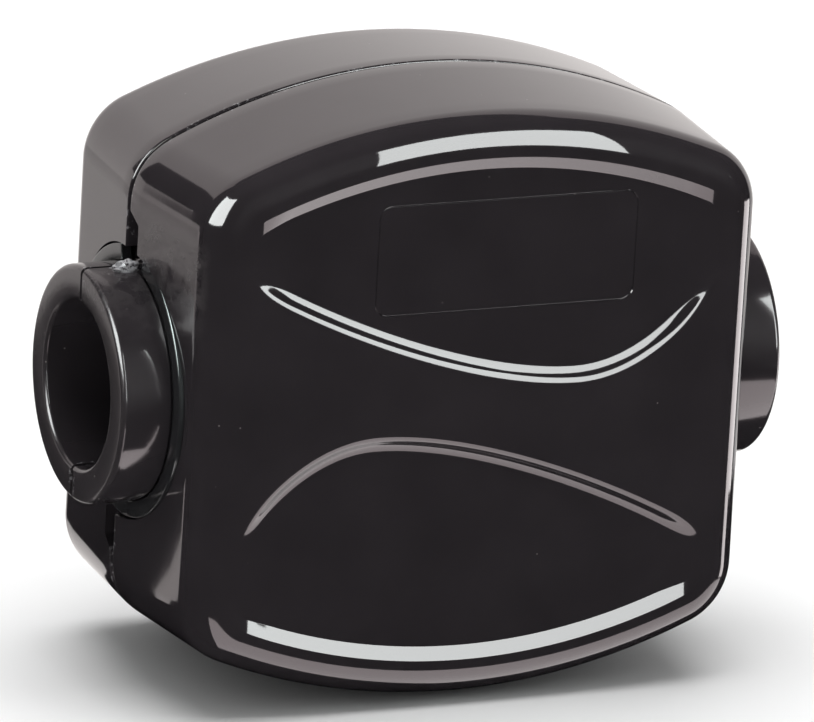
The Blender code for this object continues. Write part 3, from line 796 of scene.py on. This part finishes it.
def washer_mesh():
    """A split spring washer about Z: a rounded section on a turn that climbs by its rise."""
    inner, outer, thick, rise = 2.3, 3.3, 0.9, 0.25
    split = math.radians(12.0)
    sections = []
    for share in np.linspace(0.0, 1.0, 97):
        turn = split / 2 + (2 * math.pi - split) * share
        foot = rise * share
        loop = round_profile([
            (inner, foot), (outer, foot), (outer, foot + thick), (inner, foot + thick)
        ], [0.12] * 4, steps=3)
        sections.append(np.column_stack([
            loop[:, 0] * math.cos(turn), loop[:, 0] * math.sin(turn), loop[:, 1]
        ]))
    return solid("washer", *loft(np.stack(sections)))


def stand_at(mesh, node, seat):
    """Turn a piece made about Z to point its head to the front, on a CAD node's own axis."""
    low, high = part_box(node)
    x = (low.x + high.x) / 2 * MM
    z = (low.z + high.z) / 2 * MM - AXIS_HEIGHT
    mesh.transform(Matrix.Translation((x, -seat, z)) @ Matrix.Rotation(math.pi / 2, 4, "X"))


class ClampScrews(bpy.types.Operator):
    """Make the four threaded screws and their spring washers."""

    bl_idname = "clamp.screws"
    bl_label = "Screws and washers"

    def execute(self, context):
        """Thread one screw, cut its slot, and set four of each in the plates."""
        steel = plated_steel("screw_plating", context.scene.clamp_looks.passivation, 0.26)
        for number in range(1, 5):
            node = f"clamp_screw_{number}"
            screw = place(f"threaded_screw_{number}", screw_mesh(SCREW_LENGTH, HEAD_HEIGHT))
            low, high = ((sign * SLOT_REACH, sign * SLOT_HALF_WIDTH, level)
                         for sign, level in zip((-1, 1), SLOT_LEVELS))
            cut(screw, block(low, high), "DIFFERENCE")
            stand_at(screw.data, node, HEAD_SEAT)
            smooth(screw, 40.0)
            settle(screw, node, f"screw_{number}", steel)
            node = f"spring_washer_{number}"
            washer = place(f"split_washer_{number}", washer_mesh())
            stand_at(washer.data, node, WASHER_SEAT)
            smooth(washer, 50.0)
            settle(washer, node, "front_jaw", steel)
        return {"FINISHED"}


class ClampPlates(bpy.types.Operator):
    """Give the pressed plates their plated steel."""

    bl_idname = "clamp.plates"
    bl_label = "Clamp plates"

    def execute(self, context):
        """Assign the plating to the CAD plates, whose shapes stay."""
        steel = plated_steel("plate_plating", context.scene.clamp_looks.plating, 0.3)
        for node in ("front_die", "middle_plate", "rear_die"):
            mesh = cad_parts[node].data
            mesh.materials.clear()
            mesh.materials.append(steel)
        return {"FINISHED"}


class Signal:
    """A socket that carries numbers; sums written with it add their Math nodes."""

    def __init__(self, finish, socket):
        self.finish = finish
        self.socket = socket

    def math(self, operation, *terms):
        """One Math node on the given terms, clamped nowhere."""
        return self.finish.node("ShaderNodeMath", {"operation": operation}, enumerate(terms))

    def __add__(self, other):
        return self.math("ADD", self, other)

    def __sub__(self, other):
        return self.math("SUBTRACT", self, other)

    def __rsub__(self, other):
        return self.math("SUBTRACT", other, self)

    def __mul__(self, other):
        return self.math("MULTIPLY", self, other)

    __radd__ = __add__
    __rmul__ = __mul__

    def __abs__(self):
        return self.math("ABSOLUTE", self)

    def rises(self, low, high):
        """0 below one value and 1 above another, with a smooth step between them."""
        settings = {"interpolation_type": "SMOOTHSTEP"}
        sockets = {"Value": self, "From Min": low, "From Max": high, "To Min": 0.0, "To Max": 1.0}
        return self.finish.node("ShaderNodeMapRange", settings, sockets.items())


class Graph:
    """A node tree whose added nodes come from one method."""

    def __init__(self, tree):
        self.tree = tree

    def node(self, kind, settings, sockets, output=0):
        """Add a node: settings first, then values or links on its sockets; gives one output."""
        node = self.tree.nodes.new(kind)
        for key, value in settings.items():
            setattr(node, key, value)
        for key, value in sockets:
            self.feed(node.inputs[key], value)
        return Signal(self, node.outputs[output]) if node.outputs else None

    def others(self, signal, *names):
        """More outputs of the node that a signal comes from."""
        return [Signal(self, signal.socket.node.outputs[name]) for name in names]

    def feed(self, socket, value):
        """Link a signal to a socket, or set a plain value on it."""
        if isinstance(value, Signal):
            self.tree.links.new(value.socket, socket)
        elif isinstance(value, tuple):
            socket.default_value = (*value, 1.0)[: len(socket.default_value)]
        else:
            socket.default_value = value


class Finish(Graph):
    """One procedural material on object coordinates."""

    def __init__(self, name):
        self.material = bpy.data.materials.new(name)
        self.material.use_nodes = True
        super().__init__(self.material.node_tree)
        self.shader = self.tree.nodes["Principled BSDF"]
        self.place = self.node("ShaderNodeTexCoord", {}, (), "Object")
        axes = self.node("ShaderNodeSeparateXYZ", {}, {"Vector": self.place}.items(), "X")
        self.x, self.y, self.z = self.others(axes, *"XYZ")

    def set(self, **sockets):
        """Set or link the shader's own sockets; spaces in their names are written as _."""
        for key, value in sockets.items():
            self.feed(self.shader.inputs[key.replace("_", " ")], value)

    def noise(self, size, detail=2.0, roughness=0.5, where=None):
        """Noise whose lumps are about one size across, in millimetres, from 0 to 1."""
        sockets = {
            "Vector": where or self.place, "Scale": MM / size, "Detail": detail,
            "Roughness": roughness,
        }
        return self.node("ShaderNodeTexNoise", {}, sockets.items())

    def stretched(self, x, y, z):
        """Object coordinates scaled per axis, for streaks."""
        settings = {"operation": "MULTIPLY"}
        return self.node("ShaderNodeVectorMath", settings, ((0, self.place), (1, (x, y, z))))

    def specks(self, spacing, radius, share):
        """Round specks: cells a spacing apart of which a share holds a dot of a radius, in mm."""
        settings = {"feature": "F1"}
        sockets = {"Vector": self.place, "Scale": MM / spacing, "Randomness": 1.0}
        near = self.node("ShaderNodeTexVoronoi", settings, sockets.items(), "Distance")
        tint, = self.others(near, "Color")
        pick = self.node("ShaderNodeSeparateColor", {}, {"Color": tint}.items(), 0)
        inside = 1.0 - near.rises(radius / spacing * 0.7, radius / spacing)
        return inside * pick.rises(1.0 - share, 1.0 - share + 0.02)

    def near(self, centre, reach):
        """1 at a place in millimetres about the axis, falling to 0 at a reach along each axis."""
        scale = tuple(MM / value for value in reach)
        shift = (centre[0], centre[1], centre[2] + AXIS_HEIGHT)
        shift = tuple(-middle / value for middle, value in zip(shift, reach))
        settings = {"operation": "MULTIPLY_ADD"}
        sockets = ((0, self.place), (1, scale), (2, shift))
        moved = self.node("ShaderNodeVectorMath", settings, sockets)
        distance = self.node(
            "ShaderNodeVectorMath", {"operation": "LENGTH"}, {"Vector": moved}.items(), "Value"
        )
        return 1.0 - distance.rises(0.6, 1.0)

    def blend(self, factor, low, high):
        """A colour that goes from one to another with a factor."""
        settings = {"data_type": "RGBA"}
        return self.node("ShaderNodeMix", settings, ((0, factor), (6, low), (7, high)), 2)

    def bump(self, height, distance, strength):
        """A Bump node for a height of 0 to 1 over a distance in millimetres."""
        sockets = {"Height": height, "Distance": distance / MM, "Strength": strength}
        return self.node("ShaderNodeBump", {}, sockets.items(), "Normal")


def gloss_plastic(looks):
    """Glossy black moulding with orange peel, a dull flank and collar, dust, rubbed edges, and a
    painted mottled reflection on the front shell's left flank.
    """
    finish = Finish("gloss_plastic")
    black = tuple(looks.plastic)
    along, deep, height = finish.x * MM, finish.y * MM, finish.z * MM - AXIS_HEIGHT
    cloud = finish.noise(5.0, 3.0)
    grain = finish.noise(0.35, 2.0)
    fine = finish.noise(0.22, 3.0, 0.7)
    seam = 1.0 - abs(deep).rises(0.25, 0.7)
    rubbed = seam * finish.noise(0.5, 4.0, 0.65).rises(0.56, 0.66)
    dust = finish.specks(1.3, 0.07, 0.25)
    end_face = abs(along).rises(23.35, 23.5)
    collar = abs(along).rises(20.7, 20.9) * (1.0 - end_face)
    # Patch of the front shell's left flank between two heights: its roughness is real dullness,
    # and its colour below carries a painted mottled reflection.
    flank = (0.0 - along).rises(19.2, 19.7) * (0.0 - deep).rises(0.3, 1.0)
    flank = flank * height.rises(4.5, 9.0) * (1.0 - height.rises(11.6, 12.6))
    mottle = finish.noise(1.1, 5.0, 0.7).rises(0.4, 0.62)
    streak = finish.noise(0.5, 3.0, 0.6, finish.stretched(0.12, 1.0, 1.0)).rises(0.62, 0.8)
    gate = finish.near((GATE_X, GATE_Y, 8.3), (1.2, 0.7, 0.9)) * fine.rises(0.36, 0.5)
    pale = finish.blend(cloud, black, tuple(value * 1.6 + 0.001 for value in black))
    pale = finish.blend(dust * 0.3, pale, (0.42, 0.4, 0.38))
    pale = finish.blend(rubbed * 0.3 + gate * 0.9, pale, (0.5, 0.5, 0.52))
    # Painted reflection: the mottle lightens the front left flank's colour in grey patches.
    pale = finish.blend(flank * mottle * 0.04 + end_face * fine * 0.02, pale, (0.5, 0.48, 0.46))
    rough = 0.06 + 0.04 * cloud + 0.3 * dust + 0.25 * rubbed + 0.5 * gate
    rough = rough + flank * (0.04 + 0.16 * mottle) + end_face * 0.14
    rough = rough + collar * (0.05 + 0.2 * streak)
    relief = grain * 0.3 + cloud + flank * mottle * 2.5
    relief = relief + end_face * fine * 3.0 + gate * fine * 6.0
    finish.set(
        Base_Color=pale, Roughness=rough, IOR=1.52, Specular_Tint=(1.0, 0.84, 0.87),
        Coat_Weight=0.35, Coat_Roughness=0.04,
        Normal=finish.bump(relief, 0.012, 0.35),
    )
    return finish.material


def spring_steel(looks):
    """Blackened spring wire: dark oxide, clouded lighter at random."""
    finish = Finish("spring_steel")
    dark = tuple(looks.spring)
    cloud = finish.noise(1.2, 4.0, 0.6)
    drawn = finish.noise(0.25, 3.0, 0.6)
    colour = finish.blend(cloud, dark, tuple(value * 2.2 for value in dark))
    finish.set(
        Base_Color=colour, Metallic=0.0, Roughness=0.14 + 0.12 * cloud, IOR=1.6,
        Coat_Weight=0.5, Coat_Roughness=0.08,
        Normal=finish.bump(drawn * 0.4 + cloud, 0.01, 0.4),
    )
    return finish.material


def plated_steel(name, tint, rough):
    """Zinc-plated steel: clouded colour, rolling marks and small pits."""
    finish = Finish(name)
    bright = tuple(tint)
    cloud = finish.noise(2.5, 4.0, 0.6)
    rolled = finish.noise(0.4, 3.0, 0.6, finish.stretched(0.08, 1.0, 1.0))
    pits = finish.specks(0.8, 0.06, 0.3)
    colour = finish.blend(cloud, tuple(value * 0.72 for value in bright), bright)
    colour = finish.blend(pits * 0.5, colour, (0.2, 0.18, 0.15))
    finish.set(
        Base_Color=colour, Metallic=1.0, Roughness=rough + 0.16 * cloud + 0.2 * pits,
        Normal=finish.bump(rolled + 0.5 * cloud - 0.6 * pits, 0.012, 0.4),
    )
    return finish.material


class ClampStage(bpy.types.Operator):
    """Set the floor, the lamp, the cards, the world and the camera at the photograph's angle."""

    bl_idname = "clamp.stage"
    bl_label = "Stage"

    def execute(self, context):
        """Lay a pale floor, hang one soft lamp and the cards, and point the camera."""
        make_floor(context.scene.clamp_looks)
        make_lamp()
        make_cards()
        make_world()
        make_camera()
        context.scene.view_settings.view_transform = "Standard"
        return {"FINISHED"}


def sheet_mesh(name, points, faces):
    """A mesh of flat faces, from points in millimetres about the floor's middle."""
    mesh = bpy.data.meshes.new(name)
    mesh.from_pydata((np.array(points, float) / MM).tolist(), [], faces)
    return mesh


def plain_surface(name, colour, rough):
    """A plain matt surface for the stage, with a faint mottle."""
    finish = Finish(name)
    shade = tuple(value * 0.985 for value in colour)
    finish.set(Base_Color=finish.blend(finish.noise(40.0), shade, colour), Roughness=rough)
    finish.shader.inputs["Specular IOR Level"].default_value = 0.0
    return finish.material


def make_floor(looks):
    """A wide pale floor."""
    wide = 3000.0
    corners = [(-wide, -wide, 0.0), (wide, -wide, 0.0), (wide, wide, 0.0), (-wide, wide, 0.0)]
    floor = place("floor", sheet_mesh("floor", corners, [(0, 1, 2, 3)]))
    floor.data.materials.append(plain_surface("floor_paper", tuple(looks.floor), 0.9))
    floor.visible_glossy = False


def make_card(name, points, faces, colour, glow=0.0):
    """A studio card that only reflections see: black, or glowing in its own colour."""
    card = place(name, sheet_mesh(name, points, faces))
    finish = Finish(name)
    finish.set(
        Base_Color=(0.0, 0.0, 0.0), Roughness=1.0, Emission_Color=colour, Emission_Strength=glow
    )
    finish.shader.inputs["Specular IOR Level"].default_value = 0.0
    card.data.materials.append(finish.material)
    card.visible_camera = False
    card.visible_diffuse = False
    card.visible_shadow = False


def sky_patch(azimuths, elevations, reach, steps=12):
    """Points and faces of a patch of a sphere between two azimuths and two elevations.

    A point lies at the reach times (cos e sin a, cos e cos a, sin e) from the cable axis.
    """
    azimuth, elevation = np.meshgrid(
        np.radians(np.linspace(*azimuths, steps + 1)),
        np.radians(np.linspace(*elevations, steps + 1)),
    )
    points = reach * np.stack([
        np.cos(elevation) * np.sin(azimuth),
        np.cos(elevation) * np.cos(azimuth),
        np.sin(elevation),
    ], axis=-1).reshape(-1, 3)
    points[:, 2] += AXIS_HEIGHT
    index = np.arange((steps + 1)**2).reshape(steps + 1, steps + 1)
    faces = np.stack([index[:-1, :-1], index[:-1, 1:], index[1:, 1:], index[1:, :-1]], axis=-1)
    return points, faces.reshape(-1, 4).tolist()


def floor_patch(lift, corners):
    """Points and the one face of a patch at a lift over the floor."""
    return [(x, y, lift) for x, y in corners], [tuple(range(len(corners)))]


def floor_fan(lift, azimuths, reaches, steps=12):
    """A patch at a lift over the floor between two azimuths and two reaches from the flank.

    A point lies at the reach times (sin a, cos a) from the foot of the left flank's middle.
    """
    azimuth = np.radians(np.linspace(*azimuths, steps + 1))
    way = np.column_stack([np.sin(azimuth), np.cos(azimuth)])
    loop = np.concatenate([way * reaches[0], way[::-1] * reaches[1]]) + (-20.0, 0.0)
    return floor_patch(lift, loop.tolist())


def upright_patch(x, lower, top):
    """Points and the one face of an upright patch close before the front face."""
    corners = [(x[0], lower[0]), (x[1], lower[1]), (x[1], top), (x[0], top)]
    return [(across, FLAG_Y, up) for across, up in corners], [(0, 1, 2, 3)]


def make_cards():
    """What gloss sees: a bright wall and floor at the back, soft boxes, and black elsewhere."""
    black = (0.0, 0.0, 0.0)
    white = (1.0, 0.985, 0.98)
    daylight = (0.86, 1.0, 0.97)
    warm = (1.0, 0.955, 0.935)
    make_card("hood_card", *sky_patch((72.0, 322.0), (-90.0, 90.0), 900.0, 40), black)
    for name, azimuths, elevations, reach, colour, glow in (
        ("roof_card", (-38.0, 72.0), (56.0, 90.0), 900.0, black, 0.0),
        ("back_card", (-38.0, 72.0), (-4.0, 56.0), 900.0, warm, 0.87),
        ("flag_card", (-42.0, -27.5), (7.0, 26.0), 600.0, black, 0.0),
        ("left_box", (-128.0, -78.0), (12.0, 51.0), 500.0, daylight, 15.0),
        ("front_box", (126.0, 192.0), (-1.0, 42.0), 700.0, daylight, 12.0),
        ("table_glow", (94.0, 205.0), (-67.0, -26.0), 800.0, white, 2.9),
        ("right_glow", (78.0, 106.0), (-25.0, -9.0), 790.0, white, 5.2),
    ):
        make_card(name, *sky_patch(azimuths, elevations, reach), colour, glow)
    for name, lift, azimuths, reaches, colour, glow in (
        ("back_floor", 0.1, (-46.0, 74.0), (12.0, 900.0), warm, 0.87),
        ("left_shade", 0.2, (-150.0, -51.0), (0.0, 900.0), black, 0.0),
        ("near_shade", 0.2, (-43.5, -5.0), (0.0, 84.0), black, 0.0),
        ("dim_floor", 0.2, (-43.5, -5.0), (84.0, 91.0), warm, 0.3),
        ("grey_floor", 0.2, (-43.5, -5.0), (91.0, 260.0), warm, 0.68),
        ("strip_glow", 0.2, (-51.0, -43.5), (10.0, 300.0), warm, 1.1),
    ):
        make_card(name, *floor_fan(lift, azimuths, reaches), colour, glow)
    under = [(-60.0, -11.5), (60.0, -11.5), (60.0, 15.0), (-60.0, 15.0)]
    make_card("under_shade", *floor_patch(0.15, under), black)
    for name, x, lower, top in (
        ("left_collar_flag", (-24.0, -17.1), (9.0, 9.0), 36.0),
        ("right_collar_flag", (20.6, 30.0), (18.5, 18.5), 36.0),
        ("left_rim_flag", (-19.0, -7.0), (32.5, 37.0), 52.0),
        ("right_rim_flag", (11.5, 22.0), (37.2, 31.5), 52.0),
    ):
        make_card(name, *upright_patch(x, lower, top), black)


def make_lamp():
    """A broad overhead lamp for soft light, which reflections don't see."""
    light = bpy.data.lights.new("overhead", "AREA")
    light.size = 800.0 / MM
    light.energy = LAMP_POWER
    lamp = bpy.data.objects.new("overhead", light)
    bpy.context.scene.collection.objects.link(lamp)
    lamp.location = (0.0, 0.06, 0.9)
    lamp.visible_camera = False
    lamp.visible_glossy = False


def make_world():
    """White seen by the camera, by gloss and through glass, and a dimmer white for soft light."""
    world = bpy.data.worlds.new("studio")
    bpy.context.scene.world = world
    world.use_nodes = True
    world.node_tree.nodes.clear()
    graph = Graph(world.node_tree)
    seen = graph.node("ShaderNodeLightPath", {}, (), "Is Camera Ray")
    for rays in graph.others(seen, "Is Glossy Ray", "Is Transmission Ray"):
        seen = seen.math("MAXIMUM", seen, rays)
    fill, bright = (
        graph.node(
            "ShaderNodeBackground", {}, {"Color": (1.0, 1.0, 1.0), "Strength": level}.items()
        )
        for level in (SOFT_LEVEL, 1.0)
    )
    mix = graph.node("ShaderNodeMixShader", {}, enumerate((seen, fill, bright)))
    graph.node("ShaderNodeOutputWorld", {}, {"Surface": mix}.items())


def make_camera():
    """A long lens at the photograph's angle: turned, raised and rolled about the case."""
    turned, raised, rolled = (math.radians(value) for value in CAMERA_ANGLES)
    back = np.array((
        math.sin(turned) * math.cos(raised), -math.cos(turned) * math.cos(raised),
        math.sin(raised),
    ))
    level = np.cross((0.0, 0.0, 1.0), back)
    level /= np.linalg.norm(level)
    above = np.cross(back, level)
    right = math.cos(rolled) * level + math.sin(rolled) * above
    up = math.cos(rolled) * above - math.sin(rolled) * level
    lens = bpy.data.cameras.new("camera")
    lens.sensor_width = SENSOR_WIDTH
    lens.lens = FOCAL_PIXELS * SENSOR_WIDTH / PHOTO_WIDTH
    lens.shift_x, lens.shift_y = (shift / PHOTO_WIDTH for shift in SHIFT_PIXELS)
    lens.clip_end = 50.0
    camera = bpy.data.objects.new("camera", lens)
    bpy.context.scene.collection.objects.link(camera)
    pose = Matrix(np.column_stack([right, up, back]).tolist()).to_4x4()
    pose.translation = back * CAMERA_DISTANCE + (0.0, 0.0, AXIS_HEIGHT / MM)
    camera.matrix_world = pose
    bpy.context.scene.camera = camera


class ClampPanel(bpy.types.Panel):
    """Sizes, colours and steps of the branch clamp."""

    bl_idname = "VIEW3D_PT_branch_clamp"
    bl_label = "Branch Clamp"
    bl_space_type = "VIEW_3D"
    bl_region_type = "UI"
    bl_category = "Branch Clamp"

    def draw(self, context):
        """List the properties of each group, then the steps."""
        layout = self.layout
        for name in ("clamp_case", "clamp_collar", "clamp_looks"):
            group = getattr(context.scene, name)
            box = layout.box()
            for key in group.__annotations__:
                box.prop(group, key)
        for step in STEPS:
            layout.operator(step.bl_idname)


STEPS = (ClampShells, ClampRings, ClampScrews, ClampPlates, ClampStage)
GROUPS = {"clamp_case": CaseSizes, "clamp_collar": CollarSizes, "clamp_looks": Looks}


def register():
    """Register the classes and hang the property groups on the scene."""
    for group in GROUPS.values():
        bpy.utils.register_class(group)
    for step in STEPS:
        bpy.utils.register_class(step)
    bpy.utils.register_class(ClampPanel)
    for name, group in GROUPS.items():
        setattr(bpy.types.Scene, name, PointerProperty(type=group))


def unregister():
    """Take away what register added, in reverse order."""
    for name in GROUPS:
        delattr(bpy.types.Scene, name)
    bpy.utils.unregister_class(ClampPanel)
    for step in reversed(STEPS):
        bpy.utils.unregister_class(step)
    for group in reversed(GROUPS.values()):
        bpy.utils.unregister_class(group)


def main():
    """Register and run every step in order."""
    register()
    bpy.ops.clamp.shells()
    bpy.ops.clamp.rings()
    bpy.ops.clamp.screws()
    bpy.ops.clamp.plates()
    bpy.ops.clamp.stage()


if __name__ == "__main__":
    main()
